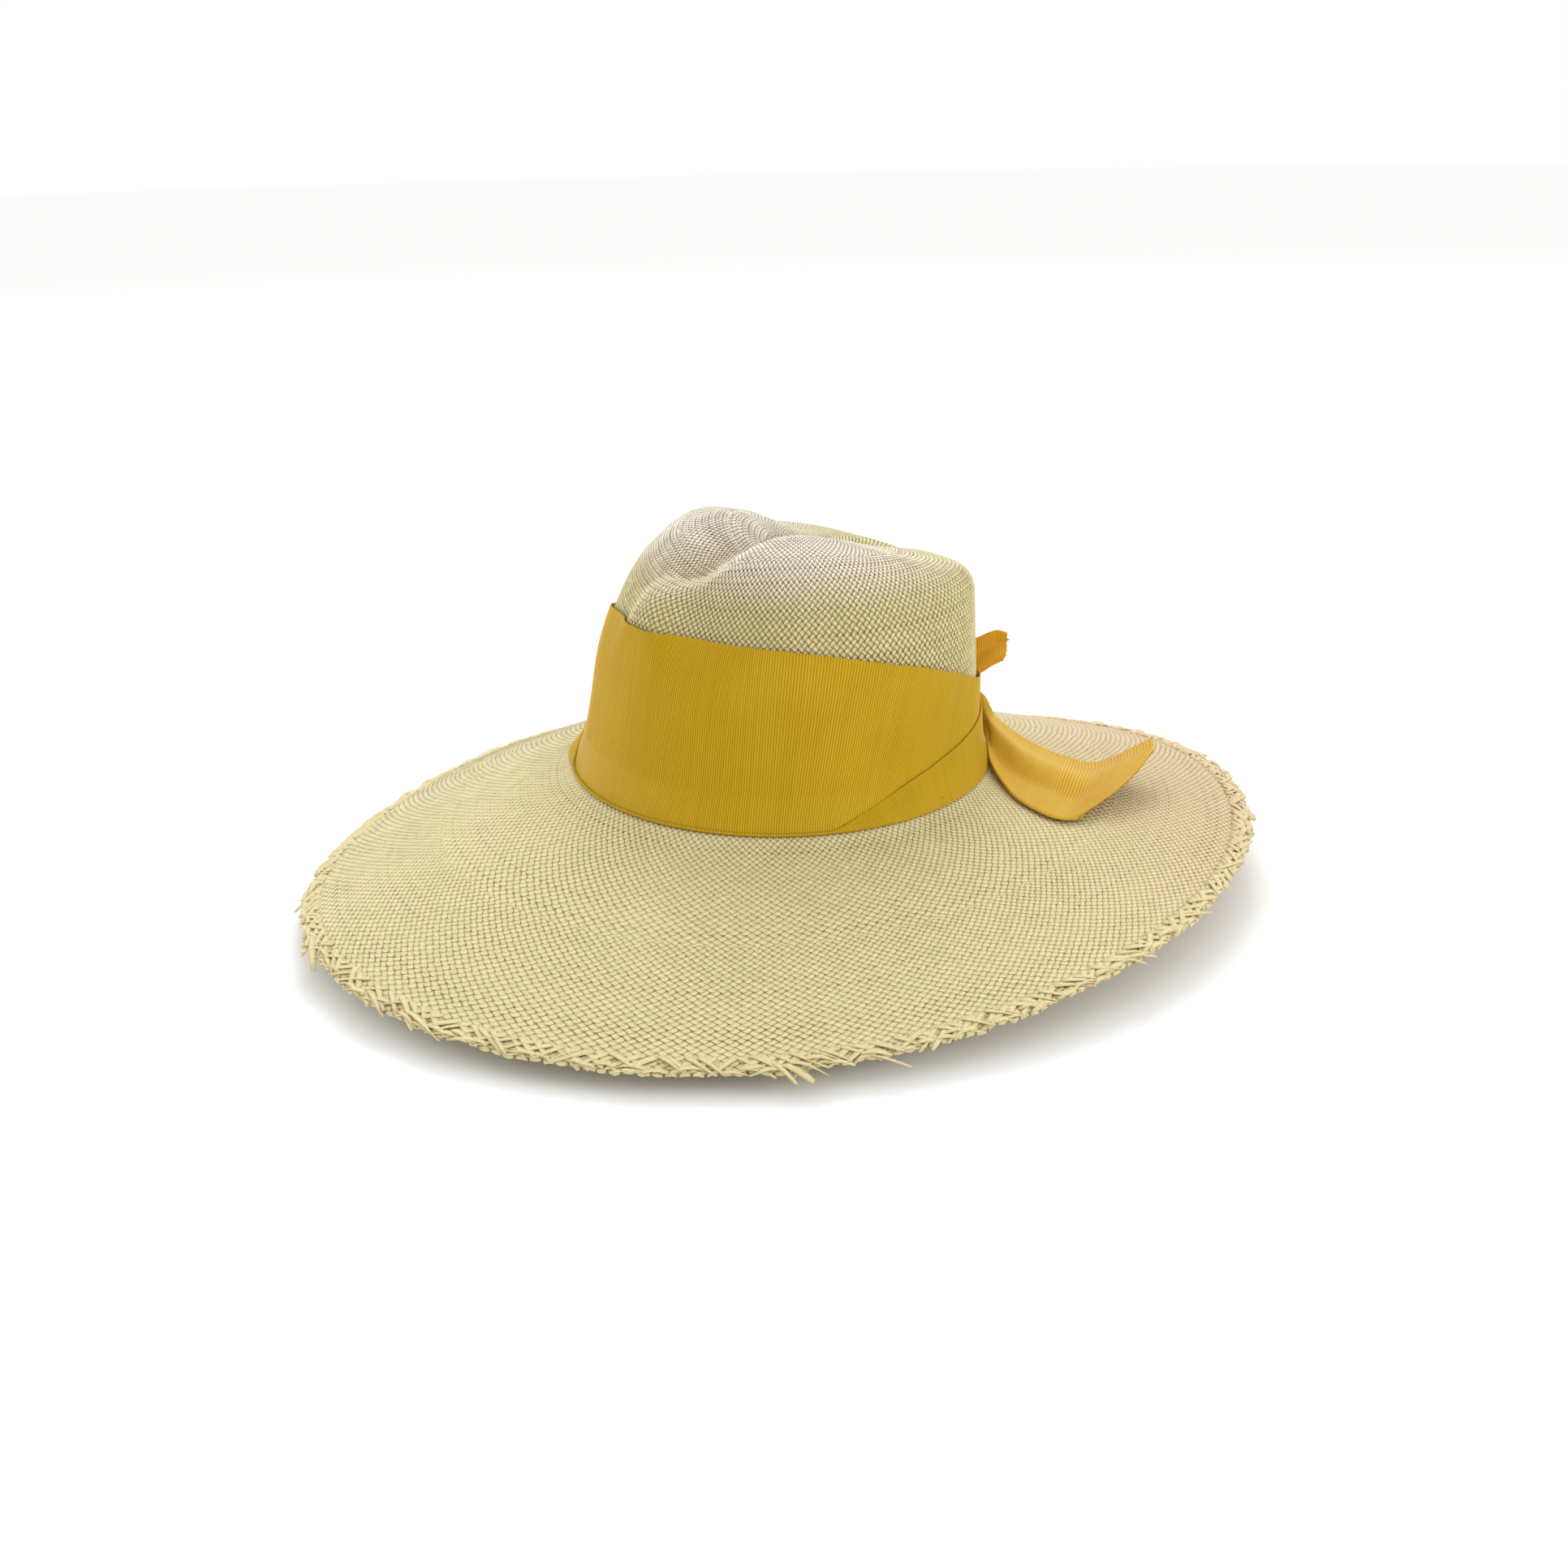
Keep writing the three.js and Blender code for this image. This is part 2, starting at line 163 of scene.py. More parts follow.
def wallPoint(angle, height):
    angle, height = np.broadcast_arrays(angle, height)
    flat = np.zeros_like(height)
    way = np.stack([np.sin(angle) * hat["halfWidth"], -np.cos(angle) * hat["halfLength"], flat], -1)
    return crownAlong(np.stack([flat, flat, height], -1), unit(way))


def brimPoint(angle, share):
    angle, share = np.broadcast_arrays(angle, share)
    droop = np.radians(brim["droop"] + waveSum(brim["droopWaves"], angle))
    width = brim["width"] * (1 + waveSum(brim["widthWaves"], angle))
    run = width * share
    flat = np.zeros_like(angle)
    base = np.stack([hat["halfWidth"] * np.sin(angle), -hat["halfLength"] * np.cos(angle), flat], -1)
    point = base + outward(angle) * (hat["flare"] + run * np.cos(droop))[..., None]
    drop = width * np.sin(droop) * np.maximum(share, 0) ** brim["bow"]
    drop = drop + brim["turnDrop"] * (1 - np.exp(-run / brim["turnReach"])) * (1 - share)
    point[..., 2] -= drop
    return point


def gridNormals(points):
    return unit(np.cross(np.gradient(points, axis=0), np.gradient(points, axis=1)))


# Adds a grid whose corners go to the given points, in mm in the hat's frame
def addGrid(bm, points, uvName, uvStart, uvSize):
    columns, rows = points.shape[0] - 1, points.shape[1] - 1
    layer = bm.loops.layers.uv.get(uvName) or bm.loops.layers.uv.new(uvName)
    placed = toFrame(points)
    made = bmesh.ops.create_grid(bm, x_segments=columns, y_segments=rows, size=1, calc_uvs=True)
    grid = {}
    for v in made["verts"]:
        i = round((v.co.x + 1) / 2 * columns)
        j = round((v.co.y + 1) / 2 * rows)
        grid[i, j] = v
        v.co = placed[i, j]
    for face in {f for v in made["verts"] for f in v.link_faces}:
        for loop in face.loops:
            u, v = loop[layer].uv
            loop[layer].uv = (uvStart[0] + u * uvSize[0], uvStart[1] + v * uvSize[1])
    return grid


# Joins a mesh up, points its faces out, gives it a wall and makes it a piece
def finishPiece(bm, name, material, wall=0.0, upwards=False, merge=0.02):
    bmesh.ops.remove_doubles(bm, verts=bm.verts[:], dist=merge / 1000)
    bmesh.ops.dissolve_degenerate(bm, edges=bm.edges[:], dist=1e-6)
    bmesh.ops.recalc_face_normals(bm, faces=bm.faces[:])
    if upwards and sum(f.normal.z * f.calc_area() for f in bm.faces) < 0:
        bmesh.ops.reverse_faces(bm, faces=bm.faces[:])
    for face in bm.faces:
        face.smooth = True
    mesh = bpy.data.meshes.new(name)
    bm.to_mesh(mesh)
    bm.free()
    mesh.set_sharp_from_angle(angle=math.radians(60))
    mesh.materials.append(material)
    piece = bpy.data.objects.new(name, mesh)
    bpy.context.collection.objects.link(piece)
    if wall:
        cloth = piece.modifiers.new("wall", "SOLIDIFY")
        cloth.thickness = wall / 1000
        cloth.offset = -1
    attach(piece, "root")
    triangles = sum(len(p.vertices) - 2 for p in mesh.polygons) * (2 if wall else 1)
    print(f"{name}: about {triangles} triangles")
    return piece


# Materials

def colour(code):
    channels = [int(code[i:i + 2], 16) / 255 for i in (1, 3, 5)]
    return tuple(c / 12.92 if c <= 0.04045 else ((c + 0.055) / 1.055) ** 2.4 for c in channels) + (1,)


# Adds a node with its settings. An input takes a value, a socket, or a node, whose first live output it then reads.
def addNode(tree, kind, inputs=(), **settings):
    node = tree.nodes.new("ShaderNode" + kind)
    for name, value in settings.items():
        setattr(node, name, value)
    for key, value in dict(inputs).items():
        if isinstance(value, bpy.types.Node):
            value = next(socket for socket in value.outputs if socket.enabled)
        if isinstance(value, bpy.types.NodeSocket):
            tree.links.new(value, node.inputs[key])
        else:
            node.inputs[key].default_value = value
    return node


def newMaterial(name):
    material = bpy.data.materials.new(name)
    material.use_nodes = True
    material.node_tree.nodes.clear()
    return material, material.node_tree


wovenStraw = {
    "green": "#D0C78B",
    "pink": "#DCC79A",
    "faded": "#D2B78C",
    # the pale colour painted on the crown's top, a painted highlight
    "topHighlightColour": "#F2EAD6",
    # line and hole: the painted shade in the weave's lines and pinholes (line also draws the ends' fibre streaks)
    "line": "#86682E",
    "hole": "#4F3E14",
    "brown": "#704615",
    "roughness": 0.58,
}
# How the weave shows: main colour, rounding of the floats, strength of the lines, size of the pinholes, and
# relief in mm. The crown's main colour is darker than the brim's: painted shade for its dimmer sides.
crownShadedLook = {"light": "#CDBF84", "round": 0.3, "gap": 0.24, "line": 1.2, "hole": 0.15, "relief": 0.85}
brimLook = {"light": "#DACD99", "round": 0.22, "gap": 0.17, "line": 1.3, "hole": 0.09, "relief": 0.5}


# Woven toquilla straw: flat split strands over and under each other on the slant, matt with a faint silk
def strawMaterial(name, look):
    material, tree = newMaterial(name)
    place = addNode(tree, "TexCoord").outputs["Object"]
    flat = addNode(tree, "UVMap", uv_map="weave").outputs["UV"]
    # hand-woven strands wander by a tenth of their spacing
    wander = addNode(tree, "TexNoise", {"Vector": place, "Scale": 130.0, "Detail": 2.0}).outputs["Color"]
    centred = addNode(tree, "VectorMath", {0: wander, 1: (0.5, 0.5, 0.5)}, operation="SUBTRACT")
    moved = addNode(tree, "VectorMath", {0: centred, 1: (0.35, 0.35, 0), 2: flat}, operation="MULTIPLY_ADD")
    split = addNode(tree, "SeparateXYZ", {0: moved})
    a = addNode(tree, "Math", {0: split.outputs[0], 1: split.outputs[1]}, operation="ADD")
    b = addNode(tree, "Math", {0: split.outputs[0], 1: split.outputs[1]}, operation="SUBTRACT")
    cellA = addNode(tree, "Math", {0: a}, operation="FLOOR")
    cellB = addNode(tree, "Math", {0: b}, operation="FLOOR")
    inA = addNode(tree, "Math", {0: a}, operation="FRACT")
    inB = addNode(tree, "Math", {0: b}, operation="FRACT")
    # in every other cell the other family of strands lies on top
    cells = addNode(tree, "Math", {0: cellA, 1: cellB}, operation="ADD")
    onTop = addNode(tree, "Math", {0: cells, 1: 2.0}, operation="FLOORED_MODULO")
    along = addNode(tree, "Mix", {0: onTop, 2: inA, 3: inB})
    across = addNode(tree, "Mix", {0: onTop, 2: inB, 3: inA})
    otherStrand = addNode(tree, "Math", {0: cellA, 1: 517.3}, operation="ADD")
    strand = addNode(tree, "Mix", {0: onTop, 2: cellB, 3: otherStrand})
    centreOut = addNode(tree, "Math", {0: across, 1: 2.0, 2: -1.0}, operation="MULTIPLY_ADD")
    edge = addNode(tree, "Math", {0: centreOut}, operation="ABSOLUTE")
    bowed = addNode(tree, "Math", {0: edge, 1: 2.0}, operation="POWER")
    toEnd = addNode(tree, "Math", {0: along, 1: 0.5}, operation="PINGPONG")
    # the end of a float is round, so its corners dive first
    fromEnd = addNode(tree, "Math", {0: bowed, 1: -look["round"] / 2, 2: toEnd}, operation="MULTIPLY_ADD")

    cellPlace = addNode(tree, "CombineXYZ", {0: cellA, 1: cellB})
    cellTint = addNode(tree, "TexWhiteNoise", {"Vector": cellPlace}, noise_dimensions="2D").outputs["Value"]
    strandTint = addNode(tree, "TexWhiteNoise", {"W": strand}, noise_dimensions="1D").outputs["Value"]
    # some rows are beaten up less tightly, and show darker
    halfRow = addNode(tree, "Math", {0: split.outputs[1], 1: 2.0, 2: 0.5}, operation="MULTIPLY_ADD")
    rowNumber = addNode(tree, "Math", {0: halfRow}, operation="FLOOR")
    rowTint = addNode(tree, "TexWhiteNoise", {"W": rowNumber}, noise_dimensions="1D").outputs["Value"]
    slackRow = addNode(tree, "Math", {0: rowTint, 1: 5.0}, operation="POWER")
    slackPlace = addNode(tree, "TexNoise", {"Vector": place, "Scale": 21.0, "Detail": 1.0}).outputs["Fac"]
    slack = addNode(tree, "Math", {0: slackRow, 1: slackPlace}, operation="MULTIPLY")
    slack = addNode(tree, "Math", {0: slackPlace, 1: 0.5, 2: slack}, operation="MULTIPLY_ADD")

    # painted shade: a brownish line where a strand dives, fainter along its flanks,
    # and dark pinholes where four strands meet
    reach = addNode(tree, "Math", {0: slack, 1: look["gap"], 2: look["gap"] * 0.45}, operation="MULTIPLY_ADD")
    dive = addNode(tree, "MapRange", {"Value": fromEnd, "From Min": reach, "From Max": -0.03},
                   interpolation_type="SMOOTHSTEP")
    flank = addNode(tree, "MapRange", {"Value": edge, "From Min": 0.84, "From Max": 1.0, "To Max": 0.55},
                    interpolation_type="SMOOTHSTEP")
    lines = addNode(tree, "Math", {0: dive, 1: flank}, operation="MAXIMUM")
    strength = addNode(tree, "Math", {0: slack, 1: look["line"], 2: look["line"] * 0.55}, operation="MULTIPLY_ADD")
    # the edges of a cell that face the rim lie in its shade
    fromRim = addNode(tree, "Math", {0: 1.0, 1: inB}, operation="SUBTRACT")
    rimward = addNode(tree, "Mix", {0: onTop, 2: inA, 3: fromRim})
    shaded = addNode(tree, "MapRange", {"Value": rimward, "From Min": 0.3, "From Max": 0.7, "To Min": 0.5})
    lines = addNode(tree, "Math", {0: lines, 1: shaded}, operation="MULTIPLY")
    line = addNode(tree, "Math", {0: lines, 1: strength}, operation="MULTIPLY", use_clamp=True)
    nearA = addNode(tree, "Math", {0: a, 1: 0.5}, operation="PINGPONG")
    nearB = addNode(tree, "Math", {0: b, 1: 0.5}, operation="PINGPONG")
    corner = addNode(tree, "CombineXYZ", {0: nearA, 1: nearB})
    fromCorner = addNode(tree, "VectorMath", {0: corner}, operation="LENGTH").outputs["Value"]
    cornerA = addNode(tree, "Math", {0: a}, operation="ROUND")
    cornerB = addNode(tree, "Math", {0: b}, operation="ROUND")
    cornerPlace = addNode(tree, "CombineXYZ", {0: cornerA, 1: cornerB})
    open1 = addNode(tree, "TexWhiteNoise", {"Vector": cornerPlace}, noise_dimensions="2D").outputs["Value"]
    openness = addNode(tree, "Math", {0: open1, 1: 3.0}, operation="POWER")
    openness = addNode(tree, "Math", {0: openness, 1: slack}, operation="ADD")
    holeReach = addNode(tree, "Math", {0: openness, 1: look["hole"]}, operation="MULTIPLY")
    hole = addNode(tree, "MapRange", {"Value": fromCorner, "From Min": holeReach, "From Max": 0.0},
                   interpolation_type="SMOOTHSTEP")

    # strands differ a little, patches lean to green or pink, and the far brim has faded to a pinkish tan
    patch = addNode(tree, "TexNoise", {"Vector": place, "Scale": 24.0, "Detail": 3.0}).outputs["Fac"]
    greenness = addNode(tree, "Math", {0: patch, 1: 0.9, 2: strandTint}, operation="MULTIPLY_ADD")
    green = addNode(tree, "MapRange", {"Value": greenness, "From Min": 0.5, "From Max": 1.5, "To Max": 0.8})
    pinkness = addNode(tree, "Math", {0: cellTint, 1: patch}, operation="SUBTRACT")
    pink = addNode(tree, "MapRange", {"Value": pinkness, "From Min": 0.1, "From Max": 0.6, "To Max": 0.5})
    spread = addNode(tree, "SeparateXYZ", {0: place})
    farness = addNode(tree, "Math", {0: spread.outputs[0], 1: 0.35, 2: spread.outputs[1]}, operation="MULTIPLY_ADD")
    faded = addNode(tree, "MapRange", {"Value": farness, "From Min": 0.04, "From Max": 0.26, "To Max": 0.8},
                    interpolation_type="SMOOTHSTEP")
    low = addNode(tree, "MapRange", {"Value": spread.outputs[2], "From Min": 0.11, "From Max": 0.08})
    fading = addNode(tree, "Math", {0: faded, 1: low}, operation="MULTIPLY")
    light, greenish = colour(look["light"]), colour(wovenStraw["green"])
    shade = addNode(tree, "Mix", {0: green, 6: light, 7: greenish}, data_type="RGBA")
    shade = addNode(tree, "Mix", {0: pink, 6: shade, 7: colour(wovenStraw["pink"])}, data_type="RGBA")
    shade = addNode(tree, "Mix", {0: fading, 6: shade, 7: colour(wovenStraw["faded"])}, data_type="RGBA")
    # painted highlight: the top of the crown is painted pale where the light catches it
    topHighlight = addNode(tree, "MapRange", {"Value": spread.outputs[2], "From Min": 0.148, "From Max": 0.178},
                     interpolation_type="SMOOTHSTEP")
    shade = addNode(tree, "Mix", {0: topHighlight, 6: shade, 7: colour(wovenStraw["topHighlightColour"])}, data_type="RGBA")
    # fine fibres along each strand, drawn coarse enough to show
    fibreAlong = addNode(tree, "Math", {0: along, 1: 0.7}, operation="MULTIPLY")
    fibreAcross = addNode(tree, "Math", {0: across, 1: 6.0}, operation="MULTIPLY")
    fibrePlace = addNode(tree, "CombineXYZ", {0: fibreAlong, 1: fibreAcross, 2: strand})
    fibre = addNode(tree, "TexNoise", {"Vector": fibrePlace, "Scale": 1.0, "Detail": 2.0}).outputs["Fac"]
    fibreTone = addNode(tree, "Math", {0: fibre, 1: 0.2, 2: 0.86}, operation="MULTIPLY_ADD")
    tone = addNode(tree, "Math", {0: cellTint, 1: 0.07, 2: fibreTone}, operation="MULTIPLY_ADD")
    grey = addNode(tree, "CombineXYZ", {0: tone, 1: tone, 2: tone})
    shade = addNode(tree, "Mix", {0: 1.0, 6: shade, 7: grey}, data_type="RGBA", blend_type="MULTIPLY")
    # towards the frayed rim the painted shade lines turn brown
    browning = addNode(tree, "Attribute", attribute_name="rimBrowning").outputs["Fac"]
    lineColour = addNode(tree, "Mix", {0: browning, 6: colour(wovenStraw["line"]), 7: colour(wovenStraw["brown"])},
                         data_type="RGBA")
    # painted shade: the lines and pinholes darken the straw's colour
    shade = addNode(tree, "Mix", {0: line, 6: shade, 7: lineColour}, data_type="RGBA")
    shade = addNode(tree, "Mix", {0: hole, 6: shade, 7: colour(wovenStraw["hole"])}, data_type="RGBA")

    rounded = addNode(tree, "MapRange", {"Value": fromEnd, "From Min": -0.05, "From Max": 0.3},
                      interpolation_type="SMOOTHERSTEP")
    flankDrop = addNode(tree, "Math", {0: edge, 1: 4.0}, operation="POWER")
    height = addNode(tree, "Math", {0: flankDrop, 1: -look["round"], 2: rounded}, operation="MULTIPLY_ADD")
    height = addNode(tree, "Math", {0: fibre, 1: 0.1, 2: height}, operation="MULTIPLY_ADD")
    height = addNode(tree, "Math", {0: hole, 1: -0.4, 2: height}, operation="MULTIPLY_ADD")
    bump = addNode(tree, "Bump", {"Strength": 1.0, "Distance": look["relief"] / 1000, "Height": height})
    rough = addNode(tree, "Math", {0: fibre, 1: 0.12, 2: wovenStraw["roughness"] - 0.06}, operation="MULTIPLY_ADD")
    shader = addNode(tree, "BsdfPrincipled", {
        "Base Color": shade,
        "Roughness": rough,
        "Normal": bump,
        "IOR": 1.45,
        "Sheen Weight": 0.12,
        "Sheen Roughness": 0.5,
    })
    addNode(tree, "OutputMaterial", {"Surface": shader})
    return material


# Split straw ends at the rim: the same straw, browned where it was cut
def strawEndMaterial():
    material, tree = newMaterial("split straw ends")
    place = addNode(tree, "TexCoord").outputs["Object"]
    flat = addNode(tree, "UVMap", uv_map="strand").outputs["UV"]
    split = addNode(tree, "SeparateXYZ", {0: flat})
    tint = addNode(tree, "TexWhiteNoise", {"W": split.outputs[0]}, noise_dimensions="1D").outputs["Value"]
    stretched = addNode(tree, "VectorMath", {0: place, 1: (1.0, 1.0, 3.0)}, operation="MULTIPLY")
    fibre = addNode(tree, "TexNoise", {"Vector": stretched, "Scale": 900.0, "Detail": 2.0}).outputs["Fac"]
    shade = addNode(tree, "Mix", {0: tint, 6: colour("#DED3A0"), 7: colour("#DCCB9B")}, data_type="RGBA")
    spread = addNode(tree, "SeparateXYZ", {0: place})
    faded = addNode(tree, "MapRange", {"Value": spread.outputs[1], "From Min": 0.05, "From Max": 0.22, "To Max": 0.6})
    shade = addNode(tree, "Mix", {0: faded, 6: shade, 7: colour("#D6BB94")}, data_type="RGBA")
    frayed = addNode(tree, "Math", {0: fibre, 1: 0.9, 2: split.outputs[1]}, operation="MULTIPLY_ADD")
    tip = addNode(tree, "MapRange", {"Value": frayed, "From Min": 1.3, "From Max": 1.6, "To Max": 0.5})
    shade = addNode(tree, "Mix", {0: tip, 6: shade, 7: colour(wovenStraw["brown"])}, data_type="RGBA")
    streak = addNode(tree, "MapRange", {"Value": fibre, "From Min": 0.55, "From Max": 0.35, "To Max": 0.2})
    shade = addNode(tree, "Mix", {0: streak, 6: shade, 7: colour(wovenStraw["line"])}, data_type="RGBA")
    bump = addNode(tree, "Bump", {"Strength": 0.7, "Distance": 0.0002, "Height": fibre})
    shader = addNode(tree, "BsdfPrincipled", {"Base Color": shade, "Roughness": 0.6, "Normal": bump, "IOR": 1.45})
    addNode(tree, "OutputMaterial", {"Surface": shader})
    return material


grosgrain = {
    # the colour of the painted shade in the rib grooves
    "groove": "#865F00",
    "sheen": "#FFE88A",
    "roughness": 0.5,
    "ribPitch": 1.1,
    "warpPitch": 0.45,
}
# The band lies tight on the crown. The free ends are looser, with softer ribs, and light comes through them.
# Their colours are painted lighter too: painted light for the glow of the light through them.
tightLook = {"light": "#C8A210", "deep": "#B58E02", "ribDepth": 0.2, "throughLight": 0.0}
looseLitLook = {"light": "#DCB13A", "deep": "#CC9C1C", "ribDepth": 0.05, "throughLight": 0.45}


# Grosgrain ribbon: fat weft ribs across its width under a fine silky warp
def ribbonMaterial(name, look):
    material, tree = newMaterial(name)
    place = addNode(tree, "TexCoord").outputs["Object"]
    ribs = addNode(tree, "UVMap", uv_map="ribs").outputs["UV"]
    split = addNode(tree, "SeparateXYZ", {0: ribs})
    turns = addNode(tree, "Math", {0: split.outputs[0], 1: math.pi}, operation="MULTIPLY")
    wave = addNode(tree, "Math", {0: turns}, operation="SINE")
    ridge = addNode(tree, "Math", {0: wave}, operation="ABSOLUTE")
    crest = addNode(tree, "Math", {0: ridge, 1: 0.6}, operation="POWER")
    ribNumber = addNode(tree, "Math", {0: split.outputs[0]}, operation="FLOOR")
    # warp threads over the ribs, a faint grain that shifts from rib to rib
    shifted = addNode(tree, "Math", {0: ribNumber, 1: math.pi}, operation="MULTIPLY")
    threads = addNode(tree, "Math", {0: split.outputs[1], 1: math.tau / grosgrain["warpPitch"], 2: shifted},
                      operation="MULTIPLY_ADD")
    warp = addNode(tree, "Math", {0: threads}, operation="SINE")
    grain = addNode(tree, "TexNoise", {"Vector": place, "Scale": 2200.0, "Detail": 1.0}).outputs["Fac"]
    cloud = addNode(tree, "TexNoise", {"Vector": place, "Scale": 30.0, "Detail": 3.0}).outputs["Fac"]
    ribTone = addNode(tree, "TexWhiteNoise", {"W": ribNumber}, noise_dimensions="1D").outputs["Value"]
    tone = addNode(tree, "Math", {0: cloud, 1: 1.1, 2: -0.5}, operation="MULTIPLY_ADD")
    tone = addNode(tree, "Math", {0: grain, 1: 0.35, 2: tone}, operation="MULTIPLY_ADD")
    tone = addNode(tree, "Math", {0: ribTone, 1: 0.3, 2: tone}, operation="MULTIPLY_ADD", use_clamp=True)
    light, deep = colour(look["light"]), colour(look["deep"])
    shade = addNode(tree, "Mix", {0: tone, 6: light, 7: deep}, data_type="RGBA")
    # painted shade: the grooves between the ribs are darkened
    groove = addNode(tree, "MapRange", {"Value": crest, "From Min": 1.0, "From Max": 0.0, "To Max": 0.85})
    shade = addNode(tree, "Mix", {0: groove, 6: shade, 7: colour(grosgrain["groove"])}, data_type="RGBA")
    height = addNode(tree, "Math", {0: grain, 1: 0.15, 2: crest}, operation="MULTIPLY_ADD")
    height = addNode(tree, "Math", {0: warp, 1: 0.05, 2: height}, operation="MULTIPLY_ADD")
    bump = addNode(tree, "Bump", {"Strength": 1.0, "Distance": look["ribDepth"] / 1000, "Height": height})
    shader = addNode(tree, "BsdfPrincipled", {
        "Base Color": shade,
        "Roughness": grosgrain["roughness"],
        "Subsurface Weight": look["throughLight"],
        "Subsurface Radius": (1.0, 0.7, 0.25),
        "Subsurface Scale": 0.002,
        "Specular IOR Level": 0.16,
        "Sheen Weight": 0.2,
        "Sheen Roughness": 0.35,
        "Sheen Tint": colour(grosgrain["sheen"]),
        "Normal": bump,
    })
    addNode(tree, "OutputMaterial", {"Surface": shader})
    return material


# the crown's straw, painted darker as painted shade
strawSide = strawMaterial("woven toquilla straw, tight, painted shade", crownShadedLook)
strawFlat = strawMaterial("woven toquilla straw, flat", brimLook)
strawEnds = strawEndMaterial()
silkRibbon = ribbonMaterial("grosgrain ribbon", tightLook)
# the free ends' ribbon, its colours painted lighter as painted light
softLitRibbon = ribbonMaterial("grosgrain ribbon, loose, painted lighter", looseLitLook)
print("materials made")

# The weave: from, to, strands in each direction, row height in mm. More strands are laid in at growth rows.
weaving = {
    "crownZones": ((-16, 51, 176, 3.7), (51, 66, 132, 3.0), (66, 78, 88, 2.7), (78, 90, 44, 2.5)),
    "brimZones": ((-0.12, 0.5, 212, 3.7), (0.5, 1.0, 272, 3.3)),
    "collar": 0.12,
    "collarLift": -16,
    "crownRelief": 0.26,
    "brimRelief": 0.15,
    "seed": 11,
}
# The raw rim: its rows wander, and straw ends stand out of it
fray = {
    "wander": 1.1,
    "flutter": 0.5,
    "browningFrom": 0.93,
    "ends": 236,
    "endShown": 0.86,
    "endStart": 8.5,
    "endReach": (-0.6, 1.5),
    "longShare": 0.035,
    "longReach": (2.0, 4.0),
    "endLean": (46, 62),
    "endWidth": (2.2, 3.2),
    "folded": 210,
    "foldedLength": (8, 14),
    "foldedWidth": (2.2, 3.2),
    "wall": 0.35,
    "seed": 5,
}
# Where the photo shows tufts and loose strands: angle in degrees, reach past the rim and width in mm, count
tufts = {
    "at": (-13, -9, 3, 9, 48.5, 49.5, 57, 91, 136),
    "reach": (4.5, 3.5, 2.5, 2.5, 7, 5, 8, 4, 3),
    "width": (3.6, 3.2, 3, 3, 3.8, 3.4, 1.6, 2.8, 2.6),
    "lean": (60, -50, 55, 60, 34, 44, 58, 44, -40),
}


# Half rows of one height, measured on the surface
def evenRows(surface, start, end, rowHeight):
    angles = np.linspace(0, math.tau, 91)
    places = np.linspace(start, end, 160)
    points = surface(angles[:, None], places[None, :])
    steps = np.linalg.norm(np.diff(points, axis=1), axis=2).mean(0)
    lengths = np.concatenate([[0], np.cumsum(steps)])
    halves = max(2, round(2 * lengths[-1] / rowHeight))
    return np.interp(np.linspace(0, lengths[-1], halves + 1), lengths, places)


# Cells stand up at their middles and sink at their corners
def reliefGrid(points, phase, depth):
    columns, rows = points.shape[:2]
    sign = np.where((np.arange(columns)[:, None] + np.arange(rows)[None, :] + phase) % 2, 1.0, -1.0)
    return points + gridNormals(points) * (sign * depth)[..., None]


def bridgeRings(bm, lower, upper, layer, strands, halfRow):
    fractions = {}
    for ring, up in ((lower, 0), (upper, 1)):
        columns = max(i for i, j in ring)
        for (i, j), v in ring.items():
            fractions[v] = (i / columns, up)
    rings = []
    for ring in (lower, upper):
        members = set(ring.values())
        rings.append([e for v in members for e in v.link_edges if e.is_boundary and e.other_vert(v) in members])
    edges = list(dict.fromkeys(rings[0] + rings[1]))
    made = bmesh.ops.bridge_loops(bm, edges=edges)
    for face in made["faces"]:
        spread = [fractions[loop.vert][0] for loop in face.loops]
        wraps = max(spread) - min(spread) > 0.5
        for loop in face.loops:
            share, up = fractions[loop.vert]
            share = share + 1 if wraps and share < 0.5 else share
            loop[layer].uv = (share * strands, (halfRow + up) / 2)


# The last rows wander in and out and flutter, because nothing binds the rim
def fraySheet(points, rows, random):
    columns = points.shape[0]
    out = points[:, -1] - points[:, -2]
    out /= np.linalg.norm(out, axis=-1, keepdims=True)
    loose = random.normal(size=columns) * 0.6 + np.repeat(random.normal(size=columns // 4 + 1), 4)[:columns]
    lift = np.repeat(random.normal(size=columns // 3 + 1), 3)[:columns]
    loose[-1], lift[-1] = loose[0], lift[0]
    for back in range(4):
        fade = (1 - back / 4) ** 1.5
        points[:, -1 - back] += out * (loose * fray["wander"] * 0.6 * fade)[:, None]
        points[:, -1 - back, 2] += lift * fray["flutter"] * fade
    return points


